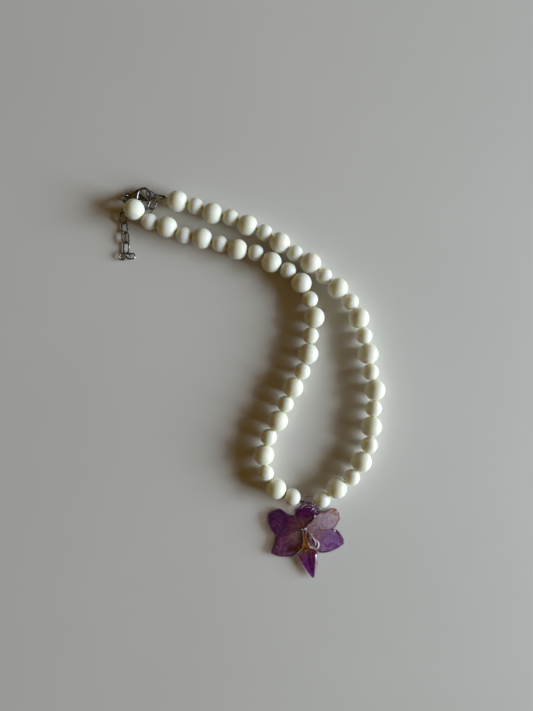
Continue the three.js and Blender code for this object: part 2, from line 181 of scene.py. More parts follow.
def sweep(path, radii, sides, closed=False, lobes=0, lay=1.0):
    """A tube along the path. Lobes make it a rope of twisted strands, one turn to each lay."""
    path = np.asarray(path, float)
    count = len(path)
    radii = np.broadcast_to(np.reshape(radii, (-1, 1)), (count, 1))
    tangent = np.gradient(path, axis=0)
    if closed:
        tangent = np.roll(path, -1, 0) - np.roll(path, 1, 0)
    tangent /= np.linalg.norm(tangent, axis=1)[:, None]
    normal = unit(np.cross(tangent[0], UNALIGNED))
    normals = []
    for t in tangent:
        normal = unit(normal - t * (normal @ t))
        normals.append(normal)
    normals = np.array(normals)
    sides_of = np.cross(tangent, normals)
    run = np.concatenate([[0], np.cumsum(np.linalg.norm(np.diff(path, axis=0), axis=1))])
    angle = np.linspace(0, 2 * pi, sides, endpoint=False)
    if closed:  # the last section is turned to meet the first
        end = unit(normals[-1] - tangent[0] * (normals[-1] @ tangent[0]))
        off = atan2(np.cross(normals[0], end) @ tangent[0], normals[0] @ end)
        angle = angle[None, :] - np.linspace(0, off, count)[:, None]
    else:
        angle = np.broadcast_to(angle, (count, sides))
    bulge = 1.0
    if lobes:
        turned = lobes * (angle + 2 * pi * run[:, None] / lay)
        bulge = 1 - ROPE_DEPTH + ROPE_DEPTH * np.abs(np.cos(turned / 2)) ** ROPE_ROUND
    reach = radii * bulge
    rings = (
        path[:, None, :]
        + (reach * np.cos(angle))[..., None] * normals[:, None, :]
        + (reach * np.sin(angle))[..., None] * sides_of[:, None, :]
    )
    points = rings.reshape(-1, 3)
    faces = []
    for i in range(count if closed else count - 1):
        a, b = i * sides, (i + 1) % count * sides
        faces += [(a + j, a + (j + 1) % sides, b + (j + 1) % sides, b + j) for j in range(sides)]
    if not closed:
        faces += [tuple(reversed(range(sides))), tuple(range((count - 1) * sides, count * sides))]
    return points, faces


def turned_ring(profile, sides):
    """A closed profile of (along x, radius) pairs turned about x."""
    count = len(profile)
    angle = np.linspace(0, 2 * pi, sides, endpoint=False)
    points = [(x, r * cos(a), r * sin(a)) for a in angle for x, r in profile]
    faces = []
    for i in range(sides):
        a, b = i * count, (i + 1) % sides * count
        faces += [(a + j, b + j, b + (j + 1) % count, a + (j + 1) % count) for j in range(count)]
    return np.array(points), faces


# ---- materials
class Graph:
    """A material's node tree, with the calls that this scene's materials repeat."""

    def __init__(self, name):
        self.material = bpy.data.materials.new(name)
        self.material.use_nodes = True
        self.tree = self.material.node_tree
        self.shader = self.tree.nodes["Principled BSDF"]
        self.coordinates = self.tree.nodes.new("ShaderNodeTexCoord").outputs["Object"]

    def node(self, kind, inputs=(), **settings):
        made = self.tree.nodes.new("ShaderNode" + kind)
        for key, value in settings.items():
            setattr(made, key, value)
        for key, value in dict(inputs).items():
            self.put(value, made.inputs[key])
        return made

    def put(self, value, socket):
        if isinstance(value, bpy.types.NodeSocket):
            self.tree.links.new(value, socket)
        else:
            socket.default_value = value

    def set(self, **values):
        for key, value in values.items():
            self.put(value, self.shader.inputs[key.replace("_", " ")])

    def noise(self, scale, detail=3.0, roughness=0.55, distortion=0.0):
        inputs = dict(Scale=scale, Detail=detail, Roughness=roughness, Distortion=distortion)
        return self.node("TexNoise", inputs | {"Vector": self.coordinates}).outputs["Fac"]

    def ramp(self, value, *stops):
        made = self.node("ValToRGB", {"Fac": value})
        elements = made.color_ramp.elements
        while len(elements) < len(stops):
            elements.new(0.5)
        for element, (place, color) in zip(elements, stops):
            element.position = place
            element.color = (*color, 1) if isinstance(color, tuple) else (color, color, color, 1)
        return made.outputs["Color"]

    def mix(self, share, a, b, blend="MIX"):
        made = self.node("Mix", data_type="RGBA", blend_type=blend)
        self.put(share, made.inputs[0])
        for socket, value in zip(made.inputs[6:8], (a, b)):
            self.put((*value, 1) if isinstance(value, tuple) else value, socket)
        return made.outputs[2]

    def math(self, operation, a, b=0.0):
        made = self.node("Math", operation=operation)
        self.put(a, made.inputs[0])
        self.put(b, made.inputs[1])
        return made.outputs[0]

    def attribute(self, name):
        return self.node("Attribute", attribute_name=name).outputs["Fac"]

    def bump(self, height, strength, distance):
        inputs = dict(Height=height, Strength=strength, Distance=distance)
        self.set(Normal=self.node("Bump", inputs).outputs["Normal"])


# The yellow tint round each bead's hole is painted glow: it stands in for light bounced between touching
# beads.
PAINTED_GLOW_SCALE = 333.0  # a bead's yellow tint ends at 0.8 / 333 m from its hole's axis


def bead_material(name, warm, cool, roughness):
    """Satin, slightly translucent shell: faint cloudy layers across a fine polish, and a painted yellow
    glow round the hole standing in for light bounced between touching beads.
    """
    g = Graph(name)
    cloud = g.noise(170, 4, 0.6, 0.6)
    layers = g.node(
        "TexWave",
        {"Vector": g.coordinates, "Scale": 95, "Distortion": 7, "Detail": 3, "Detail Scale": 1.6},
        bands_direction="Z",
    ).outputs["Fac"]
    shade = g.ramp(cloud, (0.3, warm), (0.7, cool))
    banded = g.ramp(layers, (0.0, 0.955), (1.0, 1.0))
    place = g.node("SeparateXYZ", {"Vector": g.coordinates}).outputs
    squares = [g.math("POWER", place[axis], 2.0) for axis in "YZ"]
    off = g.math("SQRT", g.math("ADD", *squares))
    # Painted glow: yellow near the hole's axis, where touching beads would light each other.
    mouth = g.ramp(g.math("MULTIPLY", off, PAINTED_GLOW_SCALE), (0.3, 0.9), (0.8, 0.0))
    shade = g.mix(mouth, shade, (0.95, 0.76, 0.2))
    g.set(Base_Color=g.mix(1.0, shade, banded, "MULTIPLY"))
    g.set(Roughness=g.ramp(g.noise(420, 3), (0.3, roughness - 0.05), (0.75, roughness + 0.07)))
    g.set(Subsurface_Weight=0.85, Subsurface_Radius=(1.0, 0.8, 0.32), Subsurface_Scale=0.0042)
    g.set(IOR=1.45, Specular_IOR_Level=0.2, Coat_Weight=0.04, Coat_Roughness=0.12)
    g.bump(g.noise(1500, 4), 0.12, 0.00004)
    return g.material


def metal_material(name, bright, dark, roughness, grain):
    """Plated metal: dull tarnish in patches and a fine drawn or cast grain."""
    g = Graph(name)
    tarnish = g.noise(700, 5, 0.62, 0.4)
    g.set(Base_Color=g.ramp(tarnish, (0.42, dark), (0.62, bright)), Metallic=1.0)
    g.set(Roughness=g.ramp(g.noise(1800, 3), (0.3, roughness - 0.07), (0.75, roughness + 0.12)))
    g.bump(g.noise(grain, 4), 0.25, 0.00003)
    return g.material


BEAD_LARGE = bead_material("bead_shell_large", (0.88, 0.855, 0.71), (0.93, 0.92, 0.81), 0.5)
BEAD_SMALL = bead_material("bead_shell_small", (0.87, 0.86, 0.73), (0.92, 0.92, 0.83), 0.48)
PLATED = metal_material("plated_metal", (0.55, 0.53, 0.49), (0.07, 0.06, 0.05), 0.24, 2600)
WIRE_METAL = metal_material("stranded_wire", (0.36, 0.34, 0.3), (0.15, 0.13, 0.11), 0.28, 5200)


# ---- beads
def bead_profile(radius, length):
    """Half a section of a drilled ball: over the outside, round the mouth and back through the bore."""
    bore = BEAD_BORE / 2
    rim = bore + BEAD_MOUTH
    start = asin(rim / radius)
    over = np.linspace(start, pi - start, 34)
    outside = [(-radius * cos(a), radius * sin(a)) for a in over]
    edge = -outside[0][0]
    depth = min(BEAD_MOUTH, edge - length / 2 + BEAD_MOUTH)
    turn = np.linspace(0, pi / 2, 5)[1:]
    mouth = [(edge - depth * (1 - cos(a)), rim - BEAD_MOUTH * sin(a)) for a in turn]
    through = [(x, bore) for x in np.linspace(mouth[-1][0], -mouth[-1][0], 7)[1:-1]]
    back = [(-x, r) for x, r in reversed(mouth)]
    return outside + mouth + through + back


def bead_pose(node):
    """A CAD bead's middle and the direction of its hole, in millimetres, from its two flat mouths."""
    low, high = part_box(node)
    middle = np.array((low + high) / 2) * 1000
    points = np.array([v.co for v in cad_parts[node].data.vertices]) * 1000 - middle
    reach = np.linalg.norm(points, axis=1)
    mouths = points[reach < reach.max() - FLAT_MARGIN]
    one_end = mouths[mouths @ mouths[0] > 0]
    return middle, unit(one_end.mean(0))


def make_bead(node, size, toward, seed):
    middle, axis = bead_pose(node)
    axis = axis if axis @ toward > 0 else -axis
    points, faces = turned_ring(bead_profile(size["radius"], size["length"]), BEAD_SIDES)
    wobble = Vector((seed * 3.7, seed * 1.3, seed * 0.7))
    uneven = [1 + BEAD_UNEVEN * noise.noise(Vector(p) * BEAD_LUMPS + wobble) for p in points]
    points = points * np.array(uneven)[:, None]
    finish = BEAD_LARGE if size is LARGE_BEAD else BEAD_SMALL
    matrix = standing(axis, middle, seed * BEAD_TURN)
    attach(make_object(node + "_shell", points, faces, finish, matrix), "strands", "bead", node)
    return middle, axis


def make_strand(name, seed):
    """All beads of a strand; returns the wire's place and direction at each of them."""
    nodes = [f"bead_{name}_{i + 1:02d}" for i in range(BEADS_PER_STRAND)]
    middles = [bead_pose(node)[0] for node in nodes]
    stops = []
    for i, node in enumerate(nodes):
        size = SMALL_BEAD if i % 2 else LARGE_BEAD
        toward = middles[min(i + 1, len(nodes) - 1)] - middles[max(i - 1, 0)]
        middle, axis = make_bead(node, size, toward, seed + i)
        stops.append((middle - (0, 0, size["rise"]), axis, size["length"]))
    return stops


# ---- wire, crimps and jump rings
def ring_frame(ring):
    return standing(heading(ring["heading"]), row(ring["centre"]), ring["lean"])


def wire_end(stop, ring):
    """The wire from an end bead through its crimp, round the ring and back, and the crimp's place."""
    centre, along, length = stop
    mouth = centre - along * (length / 2 + MOUTH_LEAD)
    matrix = ring_frame(ring)
    place = placed([heading(ring["loop"]) * ring["radius"]], matrix)[0]
    tangent = matrix[:3, :3] @ heading(ring["loop"] + 90)
    out = place - mouth
    crimp_place = mouth + out * CRIMP["share"]
    aside = unit(np.cross(tangent, out))
    ahead = unit(np.cross(aside, tangent))
    out = unit(out)

    def run(side, share):
        return crimp_place + aside * side * CRIMP["gap"] + out * share * CRIMP["length"] / 2

    turn = np.linspace(0, pi, 9)
    loop = [place + LOOP_RADIUS * (aside * cos(a) + ahead * sin(a)) for a in turn]
    return [mouth, run(1, -1), run(1, 1), *loop, run(-1, 1), run(-1, -0.9)], crimp_place, out


def make_wire(outer, inner, outer_end, inner_end):
    bail = np.array([*BAIL["place"], WIRE_HEIGHT]) + SHIFT
    reach = heading(BAIL["heading"]) * BAIL["reach"]

    def through(stops):
        sides = (-WIRE_SEAT, 0, WIRE_SEAT)
        return [centre + along * side * length for centre, along, length in stops for side in sides]

    points = [
        *reversed(outer_end), *through(outer), bail + reach, bail, bail - reach,
        *reversed(through(inner)), *inner_end,
    ]
    length = np.linalg.norm(np.diff(points, axis=0), axis=1).sum()
    path = spline(points, int(length / WIRE["step"]))
    shape = sweep(path, WIRE["diameter"] / 2, 3 * WIRE["strands"], lobes=WIRE["strands"], lay=WIRE["lay"])
    attach(make_object("beading_wire_strand", *shape, WIRE_METAL), "strands", "wire", "beading_wire")


def make_crimp(name, place, out, flat):
    """A short tube with rolled ends, squeezed a little flat in its middle."""
    outer, bore, half = CRIMP["diameter"] / 2, CRIMP["bore"] / 2, CRIMP["length"] / 2
    wall = (outer - bore) / 2
    middle = (outer + bore) / 2
    turn = np.linspace(-pi / 2, pi / 2, 7)
    right = [(half - wall + wall * cos(a), middle - wall * sin(a)) for a in turn]
    inside = [(x, bore) for x in np.linspace(half - wall, wall - half, 8)[1:-1]]
    left = [(-x, r) for x, r in reversed(right)]
    outside = [(x, outer) for x in np.linspace(wall - half, half - wall, 8)[1:-1]]
    profile = [*reversed(right), *reversed(outside), *reversed(left), *reversed(inside)]
    points, faces = turned_ring(profile, CRIMP["sides"])
    faces = [tuple(reversed(f)) for f in faces]
    waist = 1 - flat * np.exp(-((points[:, 0] / (0.45 * half)) ** 2))
    points[:, 1] *= waist
    points[:, 2] *= 1 + (1 - waist) * 0.35  # what is squeezed out goes to the sides
    matrix = standing(out, place, CRIMP["roll"])
    attach(make_object(name + "_tube", points, faces, PLATED, matrix), "strands", "fittings", name)


def make_jump_ring(name, ring):
    """A round wire ring with its cut: the two ends meet a hair apart and a little out of line."""
    steps, gap, drift = RING_WIRE["steps"], RING_WIRE["gap"], RING_WIRE["drift"]
    angle = np.radians(np.linspace(ring["cut"] + gap, ring["cut"] + (360 - gap), steps))
    path = np.column_stack([np.cos(angle), np.sin(angle), np.zeros(steps)]) * ring["radius"]
    path[:, 2] = np.linspace(-drift, drift, steps)
    radii = np.full(steps, RING_WIRE["diameter"] / 2)
    radii[[0, -1]] *= RING_WIRE["end"]
    piece = make_object(name + "_wire", *sweep(path, radii, 18), PLATED, ring_frame(ring))
    attach(piece, "strands", "fittings", name)


# ---- extender chain
def link_shape(length, width):
    """An oval ring of chain wire: two half rounds drawn apart."""
    across, drawn = (width - CHAIN_WIRE) / 2, (length - width) / 2
    angle = np.linspace(0, 2 * pi, LINK_STEPS, endpoint=False)
    flat = drawn * np.tanh(LINK_CORNER * np.cos(angle)) / tanh(LINK_CORNER)
    path = np.column_stack([across * np.cos(angle) + flat, across * np.sin(angle), np.zeros(LINK_STEPS)])
    return sweep(path, CHAIN_WIRE / 2, LINK_SIDES, closed=True)


def make_chain():
    route = spline(row(CHAIN_ROUTE), 900)
    centres, last = [], 0
    for i in range(CHAIN_LINKS):
        reach = CHAIN_PITCH if i else CHAIN_PITCH / 2
        start = centres[-1] if centres else route[0]
        while last < len(route) - 1 and np.linalg.norm(route[last] - start) < reach:
            last += 1
        centres.append(route[last])
    ends = [route[0], *centres, route[-1]]
    shape = link_shape(CHAIN_LINK["inner"] + 2 * CHAIN_WIRE, CHAIN_LINK["width"])
    for i, centre in enumerate(centres):
        along = unit(ends[i + 2] - ends[i])
        roll = CHAIN_LINK["roll"] * (1 if i % 2 else -1) + CHAIN_LINK["uneven"] * sin(i * 2.3)
        piece = make_object(f"chain_link_{i + 1}", *shape, PLATED, standing(along, centre, roll))
        attach(piece, "strands", "fittings", *(["extender_chain"] if i == 0 else []))
    for i, loop in enumerate(END_LOOPS):
        shape = link_shape(loop["length"], loop["width"])
        matrix = standing(heading(loop["heading"]), row(loop["centre"]), loop["roll"])
        attach(make_object(f"chain_end_loop_{i + 1}", *shape, PLATED, matrix), "strands", "fittings")


# ---- solids from distance fields
def solid(field, box, voxel):
    """The surface where a field of distances is zero, as points and faces."""
    axes = [np.arange(a, b + voxel, voxel) for a, b in zip(*box)]
    grid = openvdb.FloatGrid(1.0)
    grid.copyFromArray(np.ascontiguousarray(field(*np.meshgrid(*axes, indexing="ij")), dtype=np.float32))
    points, triangles, quads = grid.convertToPolygons(0.0, 0.0)
    points = np.asarray(points, float) * voxel + np.array(box[0])
    return points, [tuple(int(i) for i in f) for f in [*triangles, *quads]]


def soft_union(a, b, radius):
    share = np.clip(0.5 + 0.5 * (b - a) / radius, 0, 1)
    return b + (a - b) * share - radius * share * (1 - share)


def soft_cut(a, b, radius):
    """Field a less field b, with a rounded edge."""
    return -soft_union(-a, b, radius)


def outline_distance(x, y, outline):
    """Signed distance in the plane to a closed outline, negative inside."""
    best = np.full(x.shape, 1e9)
    inside = np.zeros(x.shape, bool)
    for (ax, ay), (bx, by) in zip(outline, np.roll(outline, -1, 0)):
        ex, ey = bx - ax, by - ay
        t = np.clip(((x - ax) * ex + (y - ay) * ey) / max(ex * ex + ey * ey, 1e-12), 0, 1)
        best = np.minimum(best, (x - ax - t * ex) ** 2 + (y - ay - t * ey) ** 2)
        crosses = (ay > y) != (by > y)
        level = ex * (y - ay) / (ey if abs(ey) > 1e-12 else 1e-12) + ax
        inside ^= crosses & (x < level)
    return np.where(inside, -1, 1) * np.sqrt(best)


def slab(plan, z, middle, half, edge):
    """A plate with the plan's outline and rounded edges, from a distance in the plane."""
    a, b = plan + edge, np.abs(z - middle) - half + edge
    outside = np.hypot(np.maximum(a, 0), np.maximum(b, 0))
    return outside + np.minimum(np.maximum(a, b), 0) - edge


# ---- clasp
CLAW_OUTLINE = [
    (1.0, 1.0), (2.4, 2.2), (4.7, 3.8), (7.3, 4.8), (9.6, 4.0), (11.0, 1.6), (11.2, -1.2), (10.7, -2.8),
    (9.7, -3.5), (8.8, -3.3), (9.0, -2.8), (9.9, -2.1), (10.2, 0.8), (9.2, 2.8), (7.3, 3.7), (5.7, 2.8),
    (5.1, 1.6), (4.7, -1.1), (3.2, -1.8), (1.0, -1.2),
]
LEVER_OUTLINE = [
    (3.3, -2.0), (3.0, -0.8), (2.9, 1.1), (3.9, 1.8), (5.5, 1.6), (7.5, 0.0), (9.3, -1.45), (8.9, -2.3),
    (6.4, -1.7), (5.9, -2.5), (5.1, -2.9), (4.1, -2.9),
]
CLASP_BOX, CLASP_VOXEL = ((-2.6, -4.6, -1.7), (12.0, 5.6, 1.7)), 0.09
CLAW_EDGE, LEVER_EDGE = 0.62, 0.28  # how far their edges are rounded
CLAW_SWELL = dict(height=0.12, place=3.6, reach=2.2)  # the claw is thicker where the lever sits
LEVER_SLOT = dict(behind=1.75, ahead=2.3, above=1.75)  # how far it reaches from the pin
THUMB = dict(ahead=0.9, below=2.9, radius=0.75)  # the lever's round end, from the pin


def claw_field(x, y, z):
    outline = spline([*CLAW_OUTLINE, CLAW_OUTLINE[0]], 160)[:-1]
    plan = outline_distance(x[:, :, 0], y[:, :, 0], outline)[:, :, None]
    swell = CLAW_SWELL["height"] * np.exp(-(((x - CLAW_SWELL["place"]) / CLAW_SWELL["reach"]) ** 2))
    claw = slab(plan, z, 0, CLASP_HALF + swell, CLAW_EDGE)
    around = np.hypot(x, y)
    eye = np.hypot(around - EYE["radius"], z * 0.95) - EYE["wire"]
    body = soft_union(claw, eye, 0.7)
    px, py = LEVER_PIVOT
    slot_x = np.maximum(px - LEVER_SLOT["behind"] - x, x - px - LEVER_SLOT["ahead"])
    hollow = np.abs(z) - SLOT_HALF
    slot = np.maximum(np.maximum(slot_x, hollow), y - py - LEVER_SLOT["above"])
    body = soft_cut(body, slot, 0.1)
    pin = np.hypot(x - px, y - py) - PIN_RADIUS
    boss = slab(pin - BOSS["width"], z, 0, CLASP_HALF + BOSS["height"], BOSS["edge"])
    pin = np.maximum(pin, np.abs(z) - CLASP_HALF - PIN_HEAD)
    return np.minimum(soft_union(body, np.maximum(boss, -hollow), 0.2), pin)


def lever_field(x, y, z):
    outline = spline([*LEVER_OUTLINE, LEVER_OUTLINE[0]], 120)[:-1]
    plan = outline_distance(x[:, :, 0], y[:, :, 0], outline)[:, :, None]
    lever = slab(plan, z, 0, LEVER_HALF, LEVER_EDGE)
    px, py = LEVER_PIVOT
    thumb = np.sqrt((x - px - THUMB["ahead"]) ** 2 + (y - py + THUMB["below"]) ** 2 + (z * 0.9) ** 2)
    thumb = thumb - THUMB["radius"]
    lever = soft_union(lever, thumb, 0.5)
    hole = np.hypot(x - px, y - py) - PIN_RADIUS - PIN_PLAY
    return np.maximum(lever, -hole)


def make_clasp():
    matrix = standing(heading(CLASP_EYE["heading"]), row(CLASP_EYE["place"]))
    pieces = (
        ("clasp_claw", claw_field, "strands", "clasp_body"),
        ("clasp_thumb_lever", lever_field, "clasp_lever", "clasp_lever"),
    )
    for name, field, body, node in pieces:
        shape = solid(field, CLASP_BOX, CLASP_VOXEL)
        attach(make_object(name, *shape, PLATED, matrix), body, "fittings", node)


# ---- pendant
FLOWER_CENTRE = (0.06, -14.0)  # in the pendant's frame
HEART_STRIPE = (0.52, 0.2, 0.1)
# White for the right edge of the lip's right lobes: partly their pale edge, partly painted highlight where
# they face the lamp.
PALE_EDGE_AND_HIGHLIGHT = (0.95, 0.87, 0.86)
USUAL = dict(
    ruffle=0.05, droop=0.0, mottle=0.6, fray=0.0, roll=0.0, stripes=0.9, ends_at=1.0, rim_from=0.85,
)


def petal(**facts):
    """A petal's outline, its height and curves in millimetres, and its linear colours."""
    return USUAL | facts


# Drawn upright from the flower's centre, x to the right and y up: two edges from the heart out to the tip.
TEPALS = {
    "dorsal": petal(
        left=[(-1.0, 0.6), (-1.8, 3.3), (-3.5, 5.3), (-4.3, 7.3), (-3.5, 9.3), (-2.1, 10.5),
            (0.0, 11.2), (1.8, 11.4)],
        right=[(1.0, 0.8), (2.4, 3.0), (4.4, 5.2), (6.2, 6.9), (7.4, 8.5), (6.5, 9.9), (4.5, 11.1),
            (1.8, 11.4)],
        rise=1.15, cup=0.35, ruffle=0.12, droop=-0.2, seed=1,
        heart=(0.4, 0.12, 0.1), middle=(0.17, 0.0025, 0.12), tip=(0.2, 0.004, 0.19),
        pale=(0.36, 0.09, 0.33), mottle=0.45, veins=0.9,
    ),
    "lower_left": petal(
        left=[(-1.0, -0.4), (-5.2, -1.4), (-10.0, -2.8), (-13.4, -3.4), (-14.0, -6.2), (-15.0, -9.0),
            (-16.0, -11.2), (-15.9, -12.2)],
        right=[(-0.4, -2.0), (-0.9, -6.0), (-1.6, -9.5), (-2.9, -12.1), (-5.2, -13.0), (-9.0, -13.5),
            (-13.0, -13.2), (-15.9, -12.2)],
        rise=1.2, cup=0.3, ruffle=0.14, droop=0.3, seed=2,
        heart=(0.66, 0.44, 0.34), middle=(0.36, 0.08, 0.21), tip=(0.24, 0.018, 0.16),
        pale=(0.55, 0.27, 0.42), mottle=0.65, veins=0.75,
    ),
    "lower_right": petal(
        left=[(0.6, -1.6), (2.2, -4.4), (3.8, -7.6), (5.2, -9.8), (7.2, -11.3), (10.4, -11.5),
            (15.0, -10.0), (19.2, -7.4)],
        right=[(1.2, -0.2), (5.0, -0.3), (10.6, 0.1), (13.4, 0.2), (15.8, -1.2), (17.8, -3.4),
            (19.0, -5.6), (19.2, -7.4)],
        rise=1.2, cup=0.45, ruffle=0.16, droop=-0.1, seed=3,
        heart=(0.7, 0.48, 0.44), middle=(0.46, 0.18, 0.52), tip=(0.33, 0.07, 0.44),
        pale=(0.78, 0.56, 0.8), veins=0.6, rim=(0.12, 0.015, 0.05),
    ),
    "upper_left": petal(
        left=[(-0.8, -0.8), (-4.6, -1.6), (-9.0, -3.2), (-12.6, -3.6), (-15.2, -1.6), (-17.0, 1.4),
            (-17.7, 4.6), (-17.7, 6.9)],
        right=[(-0.8, 1.0), (-2.6, 3.4), (-5.4, 5.6), (-8.6, 6.6), (-11.0, 8.6), (-12.7, 9.2),
            (-15.4, 8.2), (-17.7, 6.9)],
        rise=1.6, cup=0.3, ruffle=0.14, droop=-0.5, seed=4,
        heart=(0.38, 0.1, 0.09), middle=(0.19, 0.013, 0.16), tip=(0.2, 0.035, 0.19),
        pale=(0.36, 0.15, 0.38), mottle=0.5, veins=0.75,
    ),
    "upper_right": petal(
        left=[(0.9, 0.7), (3.2, 4.0), (5.7, 6.6), (7.6, 8.0), (9.4, 7.9), (11.6, 8.9), (14.2, 9.5),
            (15.6, 9.0)],
        right=[(1.2, -0.4), (5.0, -0.4), (9.8, -0.2), (13.4, 0.1), (15.1, 1.3), (16.2, 3.4),
            (17.3, 6.0), (15.6, 9.0)],
        rise=1.6, cup=0.25, ruffle=0.16, droop=-0.2, seed=5,
        heart=(0.54, 0.24, 0.27), middle=(0.78, 0.46, 0.72), tip=(0.92, 0.7, 0.68),
        pale=(0.97, 0.86, 0.84), mottle=0.8, veins=0.5, burnt=(0.52, 0.17, 0.05),
        rim=(0.3, 0.14, 0.13), fray=0.34,
    ),
}
LIP = {
    "lobe": petal(
        left=[(-0.8, -8.2), (-2.2, -10.0), (-3.2, -13.1), (-2.3, -15.2), (-0.4, -18.3), (1.6, -21.1),
            (3.2, -23.3), (4.2, -24.2)],
        right=[(2.0, -8.6), (4.4, -9.6), (6.0, -11.0), (5.7, -12.8), (5.2, -15.6), (4.9, -18.8),
            (4.7, -21.8), (4.2, -24.2)],
        rise=1.9, cup=0.5, ruffle=0.08, droop=-0.5, seed=6,
        heart=(0.48, 0.08, 0.025), middle=(0.3, 0.008, 0.25), tip=(0.36, 0.035, 0.4),
        pale=(0.48, 0.15, 0.58), veins=0.9, rim=(0.36, 0.12, 0.16),
    ),
    "throat": petal(
        left=[(-0.5, -1.8), (-0.6, -4.0), (-0.9, -6.0), (-1.7, -7.6), (-1.1, -9.2), (0.6, -11.2)],
        right=[(0.8, -1.8), (1.0, -4.0), (1.3, -6.0), (2.1, -7.6), (2.0, -9.2), (0.6, -11.2)],
        rise=2.3, cup=0.3, droop=0.1, seed=7,
        heart=(0.46, 0.14, 0.06), middle=(0.74, 0.27, 0.03), tip=(0.2, 0.02, 0.015),
        pale=(0.9, 0.46, 0.1), veins=0.75, rim=(0.34, 0.09, 0.05), ends_at=0.74,
    ),
    "side_left": petal(
        left=[(-0.5, -6.6), (-3.0, -7.7), (-5.5, -8.1), (-7.4, -8.4), (-8.1, -9.2)],
        right=[(-0.9, -9.0), (-3.0, -9.8), (-5.4, -10.4), (-7.2, -10.1), (-8.1, -9.2)],
        rise=1.8, cup=0.5, ruffle=0.14, droop=-0.25, seed=8,
        heart=(0.46, 0.18, 0.015), middle=(0.2, 0.035, 0.01), tip=(0.17, 0.025, 0.03),
        pale=(0.34, 0.12, 0.02), veins=0.8, rim=(0.18, 0.03, 0.04),
    ),
    "curl_left": petal(
        left=[(-1.0, -8.9), (-2.2, -9.9), (-3.1, -11.2), (-4.2, -12.3), (-5.3, -13.0)],
        right=[(-0.8, -9.0), (-1.2, -10.4), (-2.0, -11.9), (-3.4, -12.9), (-5.3, -13.0)],
        rise=2.0, cup=0.6, droop=-0.3, seed=9,
        heart=(0.55, 0.36, 0.16), middle=(0.5, 0.38, 0.3), tip=(0.42, 0.27, 0.28),
        pale=(0.74, 0.62, 0.46), veins=0.6, rim=(0.7, 0.62, 0.5), rim_from=0.6,
    ),
    "base_right": petal(
        left=[(1.7, -3.2), (1.3, -4.6), (1.4, -6.2), (2.1, -7.8), (3.6, -9.2), (6.1, -10.2)],
        right=[(2.1, -3.1), (2.2, -4.6), (2.5, -6.0), (3.2, -7.2), (4.5, -8.2), (6.1, -10.2)],
        rise=2.5, cup=0.2, ruffle=0.04, seed=12, stripes=0.15,
        heart=(0.9, 0.78, 0.66), middle=(0.97, 0.88, 0.78), tip=(0.86, 0.7, 0.66),
        pale=(0.97, 0.93, 0.88), mottle=0.5, veins=0.35, rim=(0.88, 0.78, 0.7),
    ),
    # Its white right edge, on the lamp's side, is partly painted highlight.
    "curl_right": petal(
        left=[(4.3, -4.5), (4.8, -5.2), (5.2, -6.2), (5.3, -7.2), (5.1, -8.4), (5.5, -9.9)],
        right=[(4.6, -4.4), (5.9, -5.1), (6.8, -6.1), (7.1, -7.3), (6.8, -8.7), (5.5, -9.9)],
        rise=2.25, cup=-1.5, seed=11, stripes=0.15,
        heart=(0.7, 0.4, 0.58), middle=(0.66, 0.34, 0.56), tip=(0.8, 0.62, 0.62),
        pale=(0.85, 0.62, 0.74), mottle=0.5, veins=0.4, rim=PALE_EDGE_AND_HIGHLIGHT,
        rim_from=0.3, rim_side=1.0,
    ),
    # Its white right edge, on the lamp's side, is partly painted highlight.
    "side_right": petal(
        left=[(2.9, -2.6), (2.4, -3.6), (2.3, -4.9), (2.6, -6.2), (3.3, -7.3), (4.3, -8.0)],
        right=[(3.1, -2.5), (4.1, -3.6), (4.9, -4.9), (5.2, -6.1), (5.0, -7.2), (4.3, -8.0)],
        rise=2.65, cup=0.7, seed=10,
        heart=(0.36, 0.09, 0.17), middle=(0.28, 0.055, 0.14), tip=(0.4, 0.14, 0.24),
        pale=(0.5, 0.28, 0.38), mottle=0.4, veins=0.7, rim=PALE_EDGE_AND_HIGHLIGHT,
        rim_from=0.5, rim_side=1.0, roll=0.6,
    ),
}
PETAL_STEPS = 64
PETAL_ACROSS = 40
PETAL_THICKNESS = 0.34
VEINS, FINE_VEINS = 34.0, 93.0  # radians over half a petal
EDGE_JAGS, EDGE_FRAY = 26.0, 0.08  # how many jags an edge has, and how deep they are
GROOVE = dict(depth=0.22, width=0.07)  # along a petal's middle; the width is of its half width
LUMPS = ((0.13, 0.45, 5.0), (0.06, 1.4, 1.4))  # height, number to a millimetre and seed factor
# Clear resin that stands beside the lip, with nothing in it.
RESIN_SLIVER = [
    (3.0, -10.0), (5.5, -10.6), (5.8, -12.0), (6.1, -15.0), (6.1, -17.6), (5.2, -20.6), (3.6, -21.0),
]


def pendant_frame():
    return standing(heading(BAIL["heading"]), np.array([*BAIL["place"], 0.0]) + SHIFT)


def to_pendant(points):
    """Points drawn upright from the flower's centre, in the pendant's own frame."""
    moved = np.array(points, float)
    c, s = heading(BAIL["heading"])[:2]
    moved[:, :2] = moved[:, :2] @ np.array([[c, -s], [s, c]]) + FLOWER_CENTRE
    return moved


